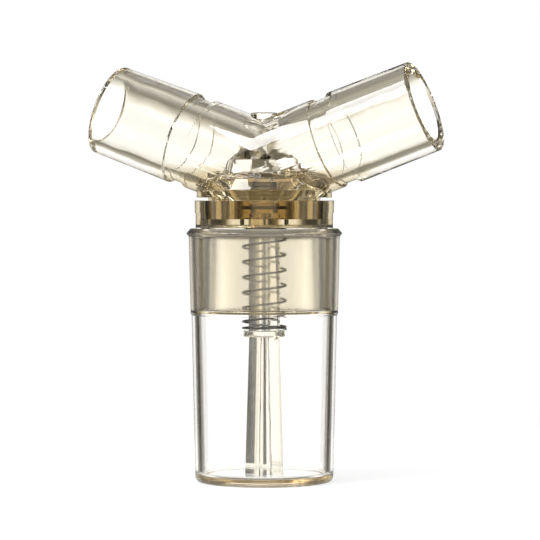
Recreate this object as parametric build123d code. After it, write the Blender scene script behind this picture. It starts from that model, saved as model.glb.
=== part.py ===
"""Water trap for a breathing circuit: a Y-shaped head with two hose ports, an automatic
drain valve and a push-on collecting cup.

Millimetres, +Z up. The origin is the middle of the cup's base. The ports lie in the XZ plane.
"""

import os

from build123d import *

# Cup
cup_height = 60.05
cup_base_radius = 16.4
cup_base_round = 1.3
cup_body_top_radius = 17.27
cup_wall = 1.8
cup_floor = 1.7
cup_floor_round = 1.0
band_bottom = 39.8
band_step = 0.23
band_flare = 0.46
band_wall = 1.5
stop_height = 40.7
stop_slope = 0.5
lip_height = 1.85
lip_under_height = 0.7
lip_overhang = 0.57
lip_top_wall = 1.05
lip_edge_round = 0.15
lip_top_round = 0.1
mouth_round = 0.2
stop_round = 0.2

# Plug of the valve body, which goes into the cup
plug_clearance = 0.2
plug_seat_gap = 0.1
plug_wall = 3.35
plug_foot_wall = 2.6
plug_lead_round = 0.5
plug_ceiling_round = 0.8

# Ring seal between plug and cup
seal_wire = 1.6
seal_depth = 1.2
seal_clearance = 0.05
groove_slack = 0.1

# Valve body above the cup
neck_height = 3.75
ring_height = 2.9
ring_proud = 0.21
ring_edge_round = 0.15
plate_gap = 0.95
plate_thickness = 1.3
socket_wall = 3.16
seat_rim_height = 0.3
seat_rim_width = 0.9
guide_length = 1.8
guide_wall = 0.75

# Y body
flange_gap = 0.7
flange_set_in = 0.46
flange_height = 1.6
shoulder_set_in = 0.06
shoulder_knee_run = 1.8
shoulder_knee_rise = 2.8
shoulder_run = 5.9
shoulder_rise = 4.7
shoulder_knee_round = 0.8
shoulder_edge_round = 0.15
spigot_clearance = 0.05
spigot_wall = 2.5
spigot_root = 0.5
throat_clearance = 1.2
throat_rise = 1.2
funnel_rise = 3.4
chamber_draft = 0.95
chamber_reach = 1.9
roof_run = 3.3
roof_rise = 3.2

# Ports
port_tilt = 20.0
crossing_rise = 5.3
port_root_radius = 11.0
port_root_length = 17.0
port_neck_radius = 10.3
port_neck_length = 4.4
cone_base_radius = 11.185
cone_length = 20.6
cone_taper = 1 / 40
rim_round = 0.45
step_round = 0.25
port_bore_radius = 7.9
port_mouth_radius = 8.15
core_overrun = 1.0
pad_radius = 3.4
pad_rise = 1.5
pad_round = 0.6

# Valve stem
stem_radius = 3.72
stem_clearance = 0.1
fin_thickness = 1.2
collar_radius = 5.0
collar_thickness = 1.5
collar_height = 34.4
collar_round = 0.25
foot_radius = 4.5
foot_fin_thickness = 2.0
leg_top_radius = 3.6
stem_foot_gap = 0.05
valve_travel = 2.0
head_radius = 3.3
head_thickness = 0.9
pin_radius = 1.6
pin_length = 2.2
pin_round = 0.2

# Valve disc and its cap
disc_radius = 6.0
disc_thickness = 0.8
disc_hole_clearance = 0.05
cap_radius = 3.6
cap_flange_thickness = 0.7
cap_dome_radius = 2.7
cap_roof = 0.7
cap_clearance = 0.02
cap_round = 0.5
cap_edge_round = 0.2

# Spring
wire_diameter = 0.5
wire_sides = 8
spring_mean_radius = 5.1
spring_turns = 6.4
closed_turns = 1.2
closed_pitch = 0.56
spring_end_angle = 21.0
spring_end_gap = 0.03
joint_swell = 1.03

# Heights and radii that follow from the sizes above
lip_bottom = cup_height - lip_height
band_foot_radius = cup_body_top_radius + band_step
band_top_radius = band_foot_radius + band_flare
band_draft = band_flare / (lip_bottom - band_bottom)


def band_radius(z):
    """Outer radius of the frosted band at a height."""
    return band_top_radius - band_draft * (lip_bottom - z)


def cup_bore_radius(z):
    """Radius of the cup's upper bore, where the plug goes in."""
    return band_radius(z) - band_wall


def plug_radius(z):
    """Outer radius of the plug at a height."""
    return cup_bore_radius(z) - plug_clearance


neck_radius = plug_radius(cup_height)
plug_bore_radius = neck_radius - plug_wall
plug_bottom = stop_height + plug_seat_gap
seal_height = cup_height - seal_depth
plate_bottom = cup_height + plate_gap
plate_top = plate_bottom + plate_thickness
ring_bottom = cup_height + neck_height
ring_top = ring_bottom + ring_height
ring_radius = neck_radius + ring_proud
socket_radius = ring_radius - socket_wall
seat_height = plate_top + seat_rim_height
stem_hole_radius = stem_radius + stem_clearance
guide_radius = stem_hole_radius + guide_wall
spigot_radius = socket_radius - spigot_clearance
chamber_radius = spigot_radius - spigot_wall
flange_bottom = ring_top + flange_gap
flange_radius = ring_radius - flange_set_in
shoulder_height = flange_bottom + flange_height
shoulder_radius = ring_radius - shoulder_set_in
cone_start = port_root_length + port_neck_length
port_length = cone_start + cone_length
cone_end_radius = cone_base_radius - cone_taper * cone_length / 2
crossing_height = shoulder_height + crossing_rise
chamber_top = crossing_height + chamber_reach
collar_top = collar_height + collar_thickness
stem_shoulder = seat_height + valve_travel
disc_top = stem_shoulder + disc_thickness
pin_top = stem_shoulder + pin_length
foot_height = cup_floor + stem_foot_gap


def turned(*corners):
    """Solid turned about Z. A corner is (radius, height), or (radius, height, rounding)."""
    outline = make_face(Polyline(*[corner[:2] for corner in corners], close=True))
    for corner in corners:
        if len(corner) == 3:
            nearest = outline.vertices().sort_by_distance((corner[0], corner[1], 0))[0]
            outline = fillet(nearest, corner[2])
    return revolve(Plane.XZ * outline, Axis.Z)


def cup():
    """Collecting cup: drafted wall, frosted band over a thinner bore, and a flared lip."""
    step_height = band_bottom - band_step
    body_bore_radius = cup_body_top_radius - cup_wall
    return turned(
        (0, 0),
        (cup_base_radius, 0, cup_base_round),
        (cup_body_top_radius, step_height),
        (band_foot_radius, band_bottom),
        (band_top_radius, lip_bottom),
        (band_top_radius + lip_overhang, lip_bottom + lip_under_height, lip_edge_round),
        (cup_bore_radius(cup_height) + lip_top_wall, cup_height, lip_top_round),
        (cup_bore_radius(cup_height), cup_height, mouth_round),
        (cup_bore_radius(stop_height), stop_height),
        (body_bore_radius, stop_height - stop_slope, stop_round),
        (cup_base_radius - cup_wall, cup_floor, cup_floor_round),
        (0, cup_floor),
    )


def valve_body():
    """Lower housing: socket ring, floor plate with the valve seat, spring guide and plug."""
    groove_bottom = seal_height - seal_wire / 2 - groove_slack
    groove_top = seal_height + seal_wire / 2 + groove_slack
    groove_radius = seal_centre_radius() - seal_wire / 2 - seal_clearance
    return turned(
        (plug_radius(plug_bottom) - plug_foot_wall, plug_bottom),
        (plug_radius(plug_bottom), plug_bottom, plug_lead_round),
        (plug_radius(groove_bottom), groove_bottom),
        (groove_radius, groove_bottom),
        (groove_radius, groove_top),
        (plug_radius(groove_top), groove_top),
        (neck_radius, cup_height),
        (neck_radius, ring_bottom),
        (ring_radius, ring_bottom),
        (ring_radius, ring_top, ring_edge_round),
        (socket_radius, ring_top, ring_edge_round),
        (socket_radius, plate_top),
        (stem_hole_radius + seat_rim_width, plate_top),
        (stem_hole_radius + seat_rim_width, seat_height),
        (stem_hole_radius, seat_height),
        (stem_hole_radius, plate_bottom - guide_length),
        (guide_radius, plate_bottom - guide_length),
        (guide_radius, plate_bottom),
        (plug_bore_radius, plate_bottom, plug_ceiling_round),
    )


def seal_centre_radius():
    """Radius of the ring seal's centre line, just inside the cup's bore."""
    return cup_bore_radius(seal_height) - seal_clearance - seal_wire / 2


def cup_seal():
    """Ring seal in the plug's groove."""
    return Pos(0, 0, seal_height) * Torus(seal_centre_radius(), seal_wire / 2)


def along_port(side, solid):
    """Turns a solid from the Z axis onto a port's axis, from where the two ports cross."""
    return Pos(0, 0, crossing_height) * Rot(0, side * (90 - port_tilt), 0) * solid


def half_space(side):
    """Block on one side of the middle plane, where the two ports are mitred."""
    reach = port_length + port_root_radius
    return Pos(side * reach, 0, crossing_height) * Box(2 * reach, 2 * reach, 2 * reach)


def port_outside(side):
    """Outer form of one port: root tube, narrower neck and 22 mm conical end."""
    tube = turned(
        (0, -port_root_radius),
        (port_root_radius, -port_root_radius),
        (port_root_radius, port_root_length, step_round),
        (port_neck_radius, port_root_length),
        (port_neck_radius, cone_start),
        (cone_base_radius, cone_start, step_round),
        (cone_end_radius, port_length, rim_round),
        (0, port_length),
    )
    return along_port(side, tube) & half_space(side)


def port_bore(side):
    """Core that leaves one port's bore, a little wider at its mouth."""
    core = turned(
        (0, -port_root_radius),
        (port_bore_radius, -port_root_radius),
        (port_bore_radius, 0),
        (port_mouth_radius, port_length - rim_round),
        (port_mouth_radius + rim_round, port_length),
        (port_mouth_radius + rim_round, port_length + core_overrun),
        (0, port_length + core_overrun),
    )
    return along_port(side, core) & half_space(side)


def chamber_core():
    """Core from below: throat round the valve disc, funnel, drafted chamber and sloping roof."""
    throat_radius = disc_radius + throat_clearance
    throat_top = disc_top + throat_rise
    return turned(
        (0, plate_top - core_overrun),
        (throat_radius, plate_top - core_overrun),
        (throat_radius, throat_top),
        (chamber_radius, throat_top + funnel_rise),
        (chamber_radius - chamber_draft, chamber_top),
        (chamber_radius - chamber_draft - roof_run, chamber_top + roof_rise),
        (0, chamber_top + roof_rise),
    )


def y_body():
    """Upper housing: mitred ports over a shoulder, and a spigot with a funnel to the valve."""
    reach = port_length + port_root_radius
    above_flange = Pos(0, 0, flange_bottom + reach) * Box(2 * reach, 2 * reach, 2 * reach)
    ports = (port_outside(-1) + port_outside(1)) & above_flange
    knee_radius = shoulder_radius - shoulder_knee_run
    shoulder = turned(
        (0, flange_bottom),
        (flange_radius, flange_bottom, shoulder_edge_round),
        (flange_radius, shoulder_height),
        (shoulder_radius, shoulder_height, shoulder_edge_round),
        (knee_radius, shoulder_height + shoulder_knee_rise, shoulder_knee_round),
        (shoulder_radius - shoulder_run, shoulder_height + shoulder_rise),
        (0, shoulder_height + shoulder_rise),
    )
    spigot = turned(
        (0, plate_top),
        (spigot_radius, plate_top),
        (spigot_radius, flange_bottom + spigot_root),
        (0, flange_bottom + spigot_root),
    )
    crease_height = crossing_height + port_root_radius / cos_tilt()
    pad = turned(
        (0, crossing_height),
        (pad_radius, crossing_height),
        (pad_radius, crease_height + pad_rise, pad_round),
        (0, crease_height + pad_rise),
    )
    housing = ports + shoulder + spigot + pad
    return housing - port_bore(-1) - port_bore(1) - chamber_core()


def cos_tilt():
    """Cosine of the ports' tilt, from the slope of a port's axis."""
    return (Vector(1, 0, 0).rotate(Axis.Y, -port_tilt)).X


def fin(bottom, top, bottom_radius, top_radius, bottom_thickness, top_thickness):
    """One tapered fin of the stem, right across the axis along X."""
    low = Pos(0, 0, bottom) * Rectangle(2 * bottom_radius, bottom_thickness)
    high = Pos(0, 0, top) * Rectangle(2 * top_radius, top_thickness)
    return loft([low, high])


def cross(*sizes):
    """Two fins at right angles."""
    blade = fin(*sizes)
    return blade + Rot(0, 0, 90) * blade


def valve_stem():
    """Cross-shaped stem: wide foot, legs, collar for the spring, shaft, head and pin."""
    legs = cross(
        foot_height, collar_height, foot_radius, leg_top_radius, foot_fin_thickness, fin_thickness
    )
    shaft_top = stem_shoulder - head_thickness
    shaft = cross(
        collar_top, shaft_top, stem_radius, stem_radius, fin_thickness, fin_thickness
    )
    collar = turned(
        (0, collar_height),
        (collar_radius, collar_height, collar_round),
        (collar_radius, collar_top, collar_round),
        (0, collar_top),
    )
    head = turned(
        (0, shaft_top),
        (head_radius, shaft_top),
        (head_radius, stem_shoulder),
        (pin_radius, stem_shoulder),
        (pin_radius, pin_top, pin_round),
        (0, pin_top),
    )
    return legs + collar + shaft + head


def valve_disc():
    """Flat soft disc, held under the cap and lifted clear of the seat."""
    hole_radius = pin_radius + disc_hole_clearance
    return turned(
        (hole_radius, stem_shoulder),
        (disc_radius, stem_shoulder),
        (disc_radius, disc_top),
        (hole_radius, disc_top),
    )


def valve_cap():
    """Cap with a flange, snapped on the stem's pin above the disc."""
    bore_radius = pin_radius + cap_clearance
    roof_height = pin_top + cap_clearance
    flange_top = disc_top + cap_flange_thickness
    return turned(
        (bore_radius, disc_top),
        (cap_radius, disc_top),
        (cap_radius, flange_top, cap_edge_round),
        (cap_dome_radius, flange_top),
        (cap_dome_radius, roof_height + cap_roof, cap_round),
        (0, roof_height + cap_roof),
        (0, roof_height),
        (bore_radius, roof_height),
    )


def coil(bottom, pitch, turns, start_angle):
    """One helical stretch of wire, and the angle at which it ends."""
    line = Helix(pitch, pitch * turns, spring_mean_radius, center=(0, 0, bottom))
    start = Plane(origin=line @ 0, z_dir=line % 0)
    section = start * RegularPolygon(wire_diameter / 2, wire_sides)
    wire = sweep(section, path=line, is_frenet=True)
    return Rot(0, 0, start_angle) * wire


def stem_spring():
    """Open spring with a closed turn at each end, between the collar and the floor plate."""
    bottom = collar_top + spring_end_gap + wire_diameter / 2
    top = plate_bottom - spring_end_gap - wire_diameter / 2
    closed_height = closed_pitch * closed_turns
    open_bottom = bottom + closed_height
    open_height = top - bottom - 2 * closed_height
    open_angle = spring_end_angle + 360 * closed_turns
    top_angle = open_angle + 360 * spring_turns
    ball = Sphere(wire_diameter / 2 * joint_swell)
    low_joint = Rot(0, 0, open_angle) * Pos(spring_mean_radius, 0, open_bottom) * ball
    high_joint = Rot(0, 0, top_angle) * Pos(spring_mean_radius, 0, top - closed_height) * ball
    low_turn = coil(bottom, closed_pitch, closed_turns, spring_end_angle)
    open_turns = coil(open_bottom, open_height / spring_turns, spring_turns, open_angle)
    high_turn = coil(top - closed_height, closed_pitch, closed_turns, top_angle)
    return low_turn + low_joint + open_turns + high_joint + high_turn


def save(name, solid):
    """Writes one piece."""
    export_step(solid, f"parts/{name}.step")


os.makedirs("parts", exist_ok=True)
save("cup", cup())
save("valve_body", valve_body())
save("cup_seal", cup_seal())
save("y_body", y_body())
save("valve_stem", valve_stem())
save("valve_disc", valve_disc())
save("valve_cap", valve_cap())
save("stem_spring", stem_spring())
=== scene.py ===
"""Water trap for a breathing circuit, dressed for rendering: clear amber housings on a clear cup
with a satin band, a ribbed stem in a wire spring, and soft seals, on a pale studio floor.
Metres, +Z up."""

import math

import bmesh
import bpy
from mathutils import Matrix, Vector


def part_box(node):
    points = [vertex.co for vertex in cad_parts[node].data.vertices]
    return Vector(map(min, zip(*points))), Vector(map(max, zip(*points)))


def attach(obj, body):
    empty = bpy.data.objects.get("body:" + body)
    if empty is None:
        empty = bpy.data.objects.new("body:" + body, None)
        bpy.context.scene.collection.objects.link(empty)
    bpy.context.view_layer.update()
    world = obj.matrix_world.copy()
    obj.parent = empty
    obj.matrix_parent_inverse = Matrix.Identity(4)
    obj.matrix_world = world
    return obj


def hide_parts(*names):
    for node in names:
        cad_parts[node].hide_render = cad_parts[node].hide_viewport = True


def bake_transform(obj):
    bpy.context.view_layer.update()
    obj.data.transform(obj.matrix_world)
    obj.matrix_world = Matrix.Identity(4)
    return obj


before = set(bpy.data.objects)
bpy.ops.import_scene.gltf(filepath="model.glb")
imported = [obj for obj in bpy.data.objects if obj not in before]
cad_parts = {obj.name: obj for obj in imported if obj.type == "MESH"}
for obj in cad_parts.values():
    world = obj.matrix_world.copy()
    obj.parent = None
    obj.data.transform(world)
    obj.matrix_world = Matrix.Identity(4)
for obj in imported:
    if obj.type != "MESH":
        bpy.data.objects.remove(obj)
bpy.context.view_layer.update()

MM = 0.001
WHITE = (1.0, 1.0, 1.0)

# Camera, as the photograph was taken
CAMERA_AZIMUTH = 19.0
CAMERA_ELEVATION = 1.4
CAMERA_DISTANCE = 0.617
CAMERA_LENS = 173.2
CAMERA_SENSOR = 36.0
AIM_HEIGHT = 50.2 * MM
AIM_SIDE = 1.35 * MM

# Lamps: name, azimuth, elevation, power
LAMPS = (("key_lamp", -40.0, 50.0, 9.0), ("fill_lamp", 75.0, 40.0, 5.0))
LAMP_SIZE = 0.5
LAMP_DISTANCE = 1.1

# Floor
FLOOR_SIZE = 12.0
FLOOR_COLOUR = (0.93, 0.93, 0.93)
SHADOW_REACH = 0.16
MIRRORED_FLOOR = 0.2

# Studio walls: their even light, their level and the colour of their gaps through plastic
SKY_FILL = 0.85
PANEL_LEVEL = 1.3
GAP_TINT = (1.0, 0.89, 0.6)

# Level by how far a direction is turned from a panel's middle, where 1 is halfway to the next
PANEL_SLOPES = ((0.38, 1.0), (0.44, 0.6), (0.5, 0.12), (0.6, 0.01), (0.9, 0.02), (1.0, 0.3))

# The gaps fade out upwards and downwards between these heights of a direction
PANEL_TOP = (0.35, 0.7)
PANEL_FOOT = (-0.12, -0.26)

# Level by the height of a direction, through plastic and in reflections
HEIGHT_SLOPES = (
    (-1.0, 0.25), (-0.7, 0.15), (-0.58, 0.4), (-0.5, 0.9), (-0.44, 1.0), (0.11, 1.0),
    (0.19, 0.5), (0.28, 0.12), (0.55, 0.15), (0.75, 0.35), (0.92, 0.7),
)
MIRRORED_SLOPES = ((0.0, 0.1), (0.5, 0.12), (0.75, 0.5), (0.9, 1.0))

# Ports
PORT_TILT = 20.0
CROSSING_HEIGHT = 74.3 * MM

# Cup: the satin band starts above BAND_BOTTOM, outside the middle of the wall
BAND_BOTTOM = (40.7 * MM, 40.75 * MM)
# The lip's painted shade, darker brown on the satin band, comes in between these heights
LIP_BOTTOM = (57.4 * MM, 58.0 * MM)
CUP_MIDDLE_RADIUS = 16.9 * MM

# Spring
WIRE_RADIUS = 0.25 * MM
SPRING_RADIUS = 5.1 * MM
WIRE_SIDES = 12
STEPS_PER_TURN = 48
CLOSED_TURNS = 1.2
CLOSED_PITCH = 0.56 * MM
OPEN_TURNS = 6.4
SPRING_END_ANGLE = 21.0

# Clear plastic: what it absorbs, and what its surface takes from light that passes
PLASTIC_IOR = 1.6
AMBER = (0.7, 0.6, 0.35)
AMBER_DENSITY = 12.0
PALE = (0.85, 0.65, 0.2)
PALE_DENSITY = 15.0
HEAD_TINT = (0.99, 0.975, 0.93)
STEM_TINT = (0.96, 0.93, 0.85)
# Painted shade: the satin band is tinted cream for the dimmer light that it scatters, and the
# lip darker brown
SATIN_SHADE_TINT = (0.97, 0.92, 0.81)
LIP_SHADE_TINT = (0.76, 0.7, 0.6)

# The ring and the shoulder are thick between these heights, and deeper in colour, partly as
# painted shade
DEEP_AMBER_AND_SHADE = (0.75, 0.66, 0.47)
THICK_BOTTOM = (60.3 * MM, 61.0 * MM)
THICK_TOP = (71.5 * MM, 73.5 * MM)

# Moulded surface
WAVE_LENGTH = 4.0 * MM
WAVE_HEIGHT = 0.0008 * MM
WAVE_DETAIL = 1.0
POLISH = 0.02
UNEVENNESS = 0.02
WEAR_FINENESS = 8.0
WEAR_DETAIL = 6.0
SATIN_ROUGHNESS = 0.24
SATIN_GRAIN_SCALE = 9000.0
SATIN_GRAIN_DETAIL = 3.0

# Solid finishes, by slot: light and dark colour, roughness, metallic, scale of the pattern
SOLID_FINISHES = {
    "seal_rubber": ((0.6, 0.58, 0.52), (0.5, 0.48, 0.42), 0.55, 0.0, 900.0),
    "disc_rubber": ((0.22, 0.18, 0.11), (0.16, 0.13, 0.08), 0.5, 0.0, 900.0),
    # The wire's colours are far darker than steel's: painted shade of the dim surroundings that
    # it mirrors
    "spring_wire": ((0.1, 0.095, 0.09), (0.06, 0.055, 0.05), 0.3, 1.0, 2500.0),
}
PATTERN_DETAIL = 5.0
PATTERN_HEIGHT = 0.005 * MM
ROUGHNESS_SPREAD = 0.2

# Pieces that keep their solid's shape: node, name, slot, body
PIECES = (
    ("cup", "collecting_cup", "cup_plastic", "cup"),
    ("y_body", "upper_housing", "head_plastic", "head"),
    ("valve_body", "lower_housing", "head_plastic", "head"),
    ("cup_seal", "ring_seal", "seal_rubber", "head"),
    ("valve_stem", "drain_stem", "stem_plastic", "valve"),
    ("valve_disc", "flap_disc", "disc_rubber", "valve"),
    ("valve_cap", "disc_cap", "stem_plastic", "valve"),
)

# Their shading: faces that meet at less than SHARP_ANGLE are one smooth surface, and one that
# leans from its axis by less than TURNED_LIMIT was turned about it
SHARP_ANGLE = 32.0
TURNED_LIMIT = 0.06
MERGE_DISTANCE = 0.001 * MM
HAIR = 0.01 * MM
RIB_TAPER = 0.58
UPRIGHT_LIMIT = 0.3

# Bounces of light
CLEAR_BOUNCES = 40
GLOSSY_BOUNCES = 16


def direction(azimuth, elevation):
    """Where a camera or lamp stands, seen from the object, as a unit vector."""
    a = math.radians(azimuth)
    e = math.radians(elevation)
    return Vector((math.sin(a) * math.cos(e), -math.cos(a) * math.cos(e), math.sin(e)))


def sideways(azimuth):
    """The direction to the right in a view from that azimuth."""
    a = math.radians(azimuth)
    return Vector((math.cos(a), math.sin(a), 0))


def turn(axis, degrees):
    """Rotation matrix about a main axis."""
    return Matrix.Rotation(math.radians(degrees), 3, axis)


def look_at(obj, place, target):
    """Puts a camera or lamp in place, turned towards a point."""
    obj.location = place
    obj.rotation_euler = (target - place).to_track_quat("-Z", "Y").to_euler()


def new_object(name, bm):
    """Turns a bmesh into a linked object at the origin."""
    mesh = bpy.data.meshes.new(name)
    bm.to_mesh(mesh)
    bm.free()
    obj = bpy.data.objects.new(name, mesh)
    bpy.context.scene.collection.objects.link(obj)
    return obj


# Node helpers


def add(tree, kind, **values):
    """A node, with its properties set by name."""
    node = tree.nodes.new(kind)
    for key, value in values.items():
        setattr(node, key, value)
    return node


def feed(tree, value, socket):
    """Sets a socket from another socket, a colour or a number."""
    if isinstance(value, bpy.types.NodeSocket):
        tree.links.new(value, socket)
    elif isinstance(value, tuple):
        socket.default_value = (*value, 1)
    else:
        socket.default_value = value


def math_node(tree, operation, *values):
    """A Math node fed by sockets or numbers. Returns its output."""
    node = add(tree, "ShaderNodeMath", operation=operation)
    for value, socket in zip(values, node.inputs):
        feed(tree, value, socket)
    return node.outputs[0]


def mix_node(tree, kind, factor, first, second):
    """A blend of two numbers (FLOAT) or colours (RGBA). Returns its output."""
    node = add(tree, "ShaderNodeMix", data_type=kind)
    for name, value in (("Factor", factor), ("A", first), ("B", second)):
        feed(tree, value, node.inputs[name])
    return node.outputs["Result"]


def mix_shader(tree, factor, first, second):
    """A blend of two shader nodes. Returns the node."""
    node = add(tree, "ShaderNodeMixShader")
    for value, socket in zip((factor, first.outputs[0], second.outputs[0]), node.inputs):
        feed(tree, value, socket)
    return node


def span(tree, source, limits):
    """How far a value has come from one limit to the other, from 0 to 1."""
    node = add(tree, "ShaderNodeMapRange")
    node.inputs["From Min"].default_value = limits[0]
    node.inputs["From Max"].default_value = limits[1]
    feed(tree, source, node.inputs["Value"])
    return node.outputs["Result"]


def ramp(tree, source, slopes):
    """A grey curve through (position, level) pairs. Returns its output."""
    node = add(tree, "ShaderNodeValToRGB")
    stops = node.color_ramp.elements
    while len(stops) < len(slopes):
        stops.new(0.5)
    for stop, (place, level) in zip(stops, slopes):
        stop.position = place
        stop.color = (level, level, level, 1)
    feed(tree, source, node.inputs["Fac"])
    return node.outputs["Color"]


def noise(tree, place, scale, detail):
    """A noise over the surface. Returns its output."""
    node = add(tree, "ShaderNodeTexNoise")
    for name, value in (("Vector", place), ("Scale", scale), ("Detail", detail)):
        feed(tree, value, node.inputs[name])
    return node.outputs["Fac"]


def bump(tree, height, distance, shader):
    """Gives a shader the normals of a height pattern."""
    node = add(tree, "ShaderNodeBump")
    node.inputs["Distance"].default_value = distance
    feed(tree, height, node.inputs["Height"])
    feed(tree, node.outputs["Normal"], shader.inputs["Normal"])


def length(tree, vector):
    """The length of a vector. Returns its output."""
    node = add(tree, "ShaderNodeVectorMath", operation="LENGTH")
    feed(tree, vector, node.inputs[0])
    return node.outputs["Value"]


def split_xyz(tree, vector):
    """The outputs X, Y and Z of a vector."""
    node = add(tree, "ShaderNodeSeparateXYZ")
    feed(tree, vector, node.inputs[0])
    return node.outputs


def object_place(tree):
    """Object coordinates of the surface."""
    return add(tree, "ShaderNodeTexCoord").outputs["Object"]


# Camera, lamps and surroundings


def make_camera():
    """Camera at the photograph's place."""
    data = bpy.data.cameras.new("camera")
    data.lens = CAMERA_LENS
    data.sensor_width = CAMERA_SENSOR
    camera = bpy.data.objects.new("camera", data)
    bpy.context.scene.collection.objects.link(camera)
    target = sideways(CAMERA_AZIMUTH) * AIM_SIDE + Vector((0, 0, AIM_HEIGHT))
    away = direction(CAMERA_AZIMUTH, CAMERA_ELEVATION) * CAMERA_DISTANCE
    look_at(camera, target + away, target)
    bpy.context.scene.camera = camera


def make_lamps():
    """Two large soft lamps."""
    target = Vector((0, 0, AIM_HEIGHT))
    for name, azimuth, elevation, power in LAMPS:
        data = bpy.data.lights.new(name, "AREA")
        data.size = LAMP_SIZE
        data.energy = power
        lamp = bpy.data.objects.new(name, data)
        bpy.context.scene.collection.objects.link(lamp)
        look_at(lamp, target + direction(azimuth, elevation) * LAMP_DISTANCE, target)
        lamp.visible_camera = False


def panel_level(tree, place):
    """Level of four white panels round the object, with dark gaps between them."""
    parts = []
    for axis in (direction(CAMERA_AZIMUTH, 0), sideways(CAMERA_AZIMUTH)):
        dot = add(tree, "ShaderNodeVectorMath", operation="DOT_PRODUCT")
        feed(tree, place, dot.inputs[0])
        dot.inputs[1].default_value = axis
        parts.append(math_node(tree, "ABSOLUTE", dot.outputs["Value"]))
    small = math_node(tree, "MINIMUM", *parts)
    large = math_node(tree, "MAXIMUM", *parts)
    return ramp(tree, math_node(tree, "DIVIDE", small, large), PANEL_SLOPES)


def walls_through_plastic(tree, place, height):
    """Level of the walls as rays see them that have come through the plastic."""
    above = span(tree, height, PANEL_TOP)
    below = span(tree, height, PANEL_FOOT)
    beyond = math_node(tree, "MAXIMUM", above, below)
    walls = mix_node(tree, "FLOAT", beyond, panel_level(tree, place), 1.0)
    raised = math_node(tree, "MULTIPLY_ADD", height, 0.5, 0.5)
    slopes = [((z + 1) / 2, level) for z, level in HEIGHT_SLOPES]
    return math_node(tree, "MINIMUM", walls, ramp(tree, raised, slopes))


def make_world():
    """Studio walls: even light, dim in reflections, panels with warm gaps through the plastic,
    and plain white for the camera."""
    world = bpy.data.worlds.new("studio")
    bpy.context.scene.world = world
    world.use_nodes = True
    tree = world.node_tree
    tree.nodes.clear()
    paths = add(tree, "ShaderNodeLightPath").outputs
    place = add(tree, "ShaderNodeTexCoord").outputs["Generated"]
    height = split_xyz(tree, place)["Z"]
    through = walls_through_plastic(tree, place, height)
    whiteness = mix_node(tree, "FLOAT", paths["Is Transmission Ray"], 1.0, through)
    raised = math_node(tree, "MULTIPLY", through, PANEL_LEVEL)
    mirrored = ramp(tree, height, MIRRORED_SLOPES)
    level = mix_node(tree, "FLOAT", paths["Is Glossy Ray"], SKY_FILL, mirrored)
    level = mix_node(tree, "FLOAT", paths["Is Transmission Ray"], level, raised)
    level = math_node(tree, "MAXIMUM", level, paths["Is Camera Ray"])
    background = add(tree, "ShaderNodeBackground")
    colour = mix_node(tree, "RGBA", whiteness, GAP_TINT, WHITE)
    feed(tree, colour, background.inputs["Color"])
    feed(tree, level, background.inputs["Strength"])
    output = add(tree, "ShaderNodeOutputWorld")
    feed(tree, background.outputs[0], output.inputs["Surface"])


def floor_finish():
    """Pale paper that shows white and takes the object's shadow near its foot. Rays that have
    come through the plastic pass it and see the studio's walls."""
    material = bpy.data.materials.new("pale_paper")
    material.use_nodes = True
    tree = material.node_tree
    tree.nodes.clear()
    paths = add(tree, "ShaderNodeLightPath").outputs
    seen = math_node(tree, "MAXIMUM", paths["Is Glossy Ray"], paths["Is Camera Ray"])
    distance = length(tree, object_place(tree))
    shadowless = span(tree, distance, (-SHADOW_REACH, SHADOW_REACH))
    paper = add(tree, "ShaderNodeBsdfDiffuse")
    feed(tree, FLOOR_COLOUR, paper.inputs["Color"])
    glow = add(tree, "ShaderNodeEmission")
    feed(tree, WHITE, glow.inputs["Color"])
    strength = mix_node(tree, "FLOAT", paths["Is Glossy Ray"], 1.0, MIRRORED_FLOOR)
    feed(tree, strength, glow.inputs["Strength"])
    lit = mix_shader(tree, math_node(tree, "MULTIPLY", seen, shadowless), paper, glow)
    clear = add(tree, "ShaderNodeBsdfTransparent")
    surface = mix_shader(tree, paths["Is Transmission Ray"], lit, clear)
    output = add(tree, "ShaderNodeOutputMaterial")
    feed(tree, surface.outputs[0], output.inputs["Surface"])
    return material


def make_floor():
    """Wide level floor under the cup."""
    bm = bmesh.new()
    bmesh.ops.create_grid(bm, x_segments=2, y_segments=2, size=FLOOR_SIZE / 2)
    floor = new_object("floor", bm)
    floor.data.materials.append(floor_finish())


# Finishes


def moulded_surface_group():
    """Node group: slow waves of a moulded wall and a faint unevenness of its polish."""
    group = bpy.data.node_groups.new("moulded_surface", "ShaderNodeTree")
    for name in ("Wave Length", "Polish", "Unevenness"):
        group.interface.new_socket(name, in_out="INPUT", socket_type="NodeSocketFloat")
    for name in ("Height", "Roughness"):
        group.interface.new_socket(name, in_out="OUTPUT", socket_type="NodeSocketFloat")
    given = add(group, "NodeGroupInput").outputs
    taken = add(group, "NodeGroupOutput").inputs
    place = object_place(group)
    scale = math_node(group, "DIVIDE", 1.0, given["Wave Length"])
    wear_scale = math_node(group, "MULTIPLY", scale, WEAR_FINENESS)
    wear = noise(group, place, wear_scale, WEAR_DETAIL)
    spread = math_node(group, "MULTIPLY", wear, given["Unevenness"])
    feed(group, noise(group, place, scale, WAVE_DETAIL), taken["Height"])
    feed(group, math_node(group, "ADD", spread, given["Polish"]), taken["Roughness"])
    return group


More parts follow.
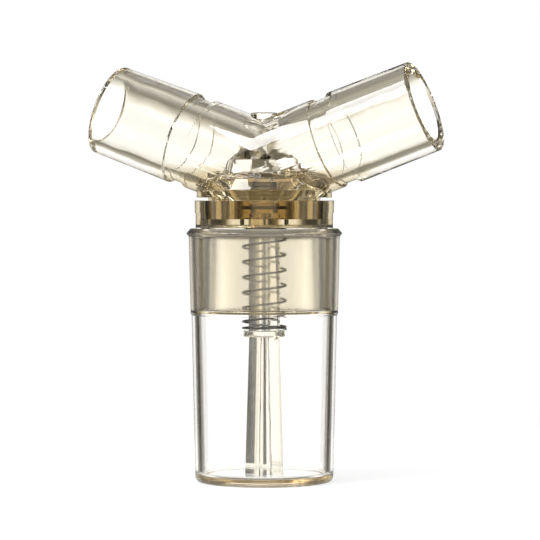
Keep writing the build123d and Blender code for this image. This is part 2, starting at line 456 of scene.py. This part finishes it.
def clear_finish(slot, tint, absorbed, density, moulded):
    """Clear plastic with moulded waves, whose colour deepens with its thickness."""
    material = bpy.data.materials.new(slot + "_finish")
    material.use_nodes = True
    tree = material.node_tree
    shader = tree.nodes["Principled BSDF"]
    feed(tree, tint, shader.inputs["Base Color"])
    shader.inputs["Transmission Weight"].default_value = 1.0
    shader.inputs["IOR"].default_value = PLASTIC_IOR
    surface = add(tree, "ShaderNodeGroup", node_tree=moulded, name="moulded_surface")
    surface.inputs["Wave Length"].default_value = WAVE_LENGTH
    surface.inputs["Polish"].default_value = POLISH
    surface.inputs["Unevenness"].default_value = UNEVENNESS
    bump(tree, surface.outputs["Height"], WAVE_HEIGHT, shader)
    feed(tree, surface.outputs["Roughness"], shader.inputs["Roughness"])
    volume = add(tree, "ShaderNodeVolumeAbsorption")
    feed(tree, absorbed, volume.inputs["Color"])
    volume.inputs["Density"].default_value = density
    feed(tree, volume.outputs[0], tree.nodes["Material Output"].inputs["Volume"])
    return material


def head_finish(moulded):
    """Amber plastic, deeper on the thick ring and shoulder: thick plastic's colour and painted
    shade.
    """
    material = clear_finish("head_plastic", HEAD_TINT, AMBER, AMBER_DENSITY, moulded)
    tree = material.node_tree
    height = split_xyz(tree, object_place(tree))["Z"]
    below_top = math_node(tree, "SUBTRACT", 1.0, span(tree, height, THICK_TOP))
    thick_and_shaded = math_node(tree, "MULTIPLY", span(tree, height, THICK_BOTTOM), below_top)
    # Painted shade: the deeper amber stands partly for light trapped in the thick ring and
    # shoulder
    colour = mix_node(tree, "RGBA", thick_and_shaded, HEAD_TINT, DEEP_AMBER_AND_SHADE)
    feed(tree, colour, tree.nodes["Principled BSDF"].inputs["Base Color"])
    return material


def cup_finish(moulded):
    """Pale clear plastic with a satin outer band, tinted cream and darker at the lip as painted
    shade.
    """
    material = clear_finish("cup_plastic", WHITE, PALE, PALE_DENSITY, moulded)
    tree = material.node_tree
    shader = tree.nodes["Principled BSDF"]
    place = object_place(tree)
    split = split_xyz(tree, place)
    flat = add(tree, "ShaderNodeCombineXYZ")
    feed(tree, split["X"], flat.inputs["X"])
    feed(tree, split["Y"], flat.inputs["Y"])
    radius = length(tree, flat.outputs[0])
    outside = math_node(tree, "GREATER_THAN", radius, CUP_MIDDLE_RADIUS)
    satin = math_node(tree, "MULTIPLY", outside, span(tree, split["Z"], BAND_BOTTOM))
    grain = noise(tree, place, SATIN_GRAIN_SCALE, SATIN_GRAIN_DETAIL)
    rough = math_node(tree, "MULTIPLY", grain, SATIN_ROUGHNESS)
    smooth = tree.nodes["moulded_surface"].outputs["Roughness"]
    feed(tree, mix_node(tree, "FLOAT", satin, smooth, rough), shader.inputs["Roughness"])
    # Painted shade: cream on the satin band and darker brown at the lip, where the plastic
    # itself is one colour
    lip_shade = span(tree, split["Z"], LIP_BOTTOM)
    band_shade = mix_node(tree, "RGBA", lip_shade, SATIN_SHADE_TINT, LIP_SHADE_TINT)
    feed(tree, mix_node(tree, "RGBA", satin, WHITE, band_shade), shader.inputs["Base Color"])
    return material


def solid_finish(slot, light, dark, roughness, metallic, scale):
    """Opaque finish whose colour, gloss and height vary a little over the surface."""
    material = bpy.data.materials.new(slot + "_finish")
    material.use_nodes = True
    tree = material.node_tree
    shader = tree.nodes["Principled BSDF"]
    shader.inputs["Metallic"].default_value = metallic
    pattern = noise(tree, object_place(tree), scale, PATTERN_DETAIL)
    feed(tree, mix_node(tree, "RGBA", pattern, dark, light), shader.inputs["Base Color"])
    low = roughness * (1 - ROUGHNESS_SPREAD)
    high = roughness * (1 + ROUGHNESS_SPREAD)
    feed(tree, mix_node(tree, "FLOAT", pattern, low, high), shader.inputs["Roughness"])
    bump(tree, pattern, PATTERN_HEIGHT, shader)
    return material


def make_finishes():
    """Every finish, by the slot that it stands for."""
    moulded = moulded_surface_group()
    finishes = {
        "cup_plastic": cup_finish(moulded),
        "head_plastic": head_finish(moulded),
        "stem_plastic": clear_finish("stem_plastic", STEM_TINT, AMBER, AMBER_DENSITY, moulded),
    }
    for slot, values in SOLID_FINISHES.items():
        finishes[slot] = solid_finish(slot, *values)
    return finishes


# Pieces that keep their solid's shape, with the true normals of its turned faces. An axis is
# given as (point, direction).


def corners(bm):
    """Every face corner, in the order in which the mesh will hold them."""
    return [loop for face in bm.faces for loop in face.loops]


def patches(bm):
    """Groups of faces that meet smoothly, as lists."""
    limit = math.radians(SHARP_ANGLE)
    found = []
    left = set(bm.faces)
    for start in bm.faces:
        if start not in left:
            continue
        left.remove(start)
        group = [start]
        for face in group:
            for edge in face.edges:
                if len(edge.link_faces) == 2 and edge.calc_face_angle(math.pi) < limit:
                    fresh = [other for other in edge.link_faces if other in left]
                    left.difference_update(fresh)
                    group.extend(fresh)
        found.append(group)
    return found


def radial(point, axis):
    """Unit vector from an axis out to a point."""
    start, along = axis
    arm = point - start
    arm -= along * arm.dot(along)
    return arm.normalized()


def lean_about(face, axis):
    """How much a face leans sideways, where faces turned about the axis don't lean."""
    across = axis[1].cross(radial(face.calc_center_median(), axis))
    return abs(face.normal.dot(across))


def turned_about(group, axes):
    """The axis about which a group of faces was turned, or None."""
    best = None
    least = TURNED_LIMIT
    area = sum(face.calc_area() for face in group)
    for axis in axes:
        lean = sum(lean_about(face, axis) * face.calc_area() for face in group)
        if lean < least * area:
            best = axis
            least = lean / area
    return best


def patch_normals(group, axis):
    """The smooth normal of each corner of a group, as {corner's index: normal}. Larger faces
    count more. Round an axis, the parts outwards and along it are summed up and turned back."""
    sums = {}
    for face in group:
        part = face.normal
        if axis:
            out = radial(face.calc_center_median(), axis)
            part = Vector((face.normal.dot(out), face.normal.dot(axis[1]), 0))
        for vert in face.verts:
            sums[vert] = sums.get(vert, Vector((0, 0, 0))) + part * face.calc_area()
    normals = {}
    for face in group:
        for loop in face.loops:
            total = sums[loop.vert]
            if axis and (loop.vert.co - axis[0]).cross(axis[1]).length > MERGE_DISTANCE:
                total = radial(loop.vert.co, axis) * total.x + axis[1] * total.y
            elif axis:
                total = axis[1] * total.y
            normals[loop.index] = total.normalized()
    return normals


def taper_ribs(bm, normals, axis):
    """Leans the normals of the upright faces outwards, as on ribs that thin to their edges."""
    for loop in corners(bm):
        normal = normals[loop.index]
        if abs(normal.z) < UPRIGHT_LIMIT:
            lean = radial(loop.vert.co, axis) * RIB_TAPER
            normals[loop.index] = (normal + lean).normalized()


def smooth_copy(node, name, axes):
    """A merged copy of a solid that replaces it. It stands a hair inside the solid, so that
    clear pieces that touch don't share a face."""
    bm = bmesh.new()
    bm.from_mesh(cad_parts[node].data)
    bmesh.ops.remove_doubles(bm, verts=bm.verts, dist=MERGE_DISTANCE)
    bm.normal_update()
    inward = {vert: vert.normal * HAIR for vert in bm.verts}
    for vert, step in inward.items():
        vert.co -= step
    for index, loop in enumerate(corners(bm)):
        loop.index = index
    normals = {}
    for group in patches(bm):
        normals.update(patch_normals(group, turned_about(group, axes)))
    if node == "valve_stem":
        taper_ribs(bm, normals, axes[0])
    for face in bm.faces:
        face.smooth = True
        face.material_index = 0
    obj = new_object(name, bm)
    obj.data.normals_split_custom_set([normals[i] for i in range(len(normals))])
    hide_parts(node)
    return obj


def port_axis(side):
    """A port's axis, from where the two ports cross."""
    tilt = math.radians(PORT_TILT)
    along = Vector((side * math.cos(tilt), 0, math.sin(tilt)))
    return Vector((0, 0, CROSSING_HEIGHT)), along


# Spring


def make_spring():
    """Round wire wound in closed end turns and open turns between them."""
    low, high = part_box("stem_spring")
    bottom = low.z + WIRE_RADIUS
    height = high.z - low.z - 2 * WIRE_RADIUS
    closed_rise = CLOSED_TURNS * CLOSED_PITCH
    stretches = (
        (CLOSED_TURNS, closed_rise),
        (OPEN_TURNS, height - 2 * closed_rise),
        (CLOSED_TURNS, closed_rise),
    )
    bm = bmesh.new()
    ring = bmesh.ops.create_circle(bm, segments=WIRE_SIDES, radius=WIRE_RADIUS)["verts"]
    bmesh.ops.rotate(bm, verts=ring, cent=(0, 0, 0), matrix=turn("X", 90.0))
    bmesh.ops.translate(bm, verts=ring, vec=(SPRING_RADIUS, 0, bottom))
    bmesh.ops.rotate(bm, verts=ring, cent=(0, 0, 0), matrix=turn("Z", SPRING_END_ANGLE))
    first_rim = list(bm.edges)
    rim = first_rim
    for turns, rise in stretches:
        steps = round(turns * STEPS_PER_TURN)
        made = bmesh.ops.spin(
            bm,
            geom=rim,
            axis=(0, 0, 1),
            cent=(0, 0, 0),
            dvec=(0, 0, rise / steps),
            angle=turns * 2 * math.pi,
            steps=steps,
        )
        rim = [part for part in made["geom_last"] if isinstance(part, bmesh.types.BMEdge)]
    for edges in (first_rim, rim):
        bmesh.ops.contextual_create(bm, geom=edges)
    bmesh.ops.recalc_face_normals(bm, faces=bm.faces)
    for face in bm.faces:
        face.smooth = len(face.verts) == 4
    spring = new_object("spring_wire", bm)
    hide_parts("stem_spring")
    return spring


# The whole trap


def dress():
    """Makes every visible piece with its finish, and puts each copied solid on the body that
    carries it.
    """
    finishes = make_finishes()
    upright = [(Vector((0, 0, 0)), Vector((0, 0, 1)))]
    all_axes = upright + [port_axis(-1), port_axis(1)]
    for node, name, slot, body in PIECES:
        piece = smooth_copy(node, name, all_axes if node == "y_body" else upright)
        piece.data.materials.append(finishes[slot])
        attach(piece, body)
    spring = make_spring()
    spring.data.materials.append(finishes["spring_wire"])
    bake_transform(spring)


def render_settings():
    """Plain view, and enough bounces for light to pass every clear wall."""
    scene = bpy.context.scene
    scene.view_settings.view_transform = "Standard"
    scene.cycles.max_bounces = CLEAR_BOUNCES
    scene.cycles.transmission_bounces = CLEAR_BOUNCES
    scene.cycles.glossy_bounces = GLOSSY_BOUNCES


make_camera()
make_lamps()
make_world()
make_floor()
dress()
render_settings()
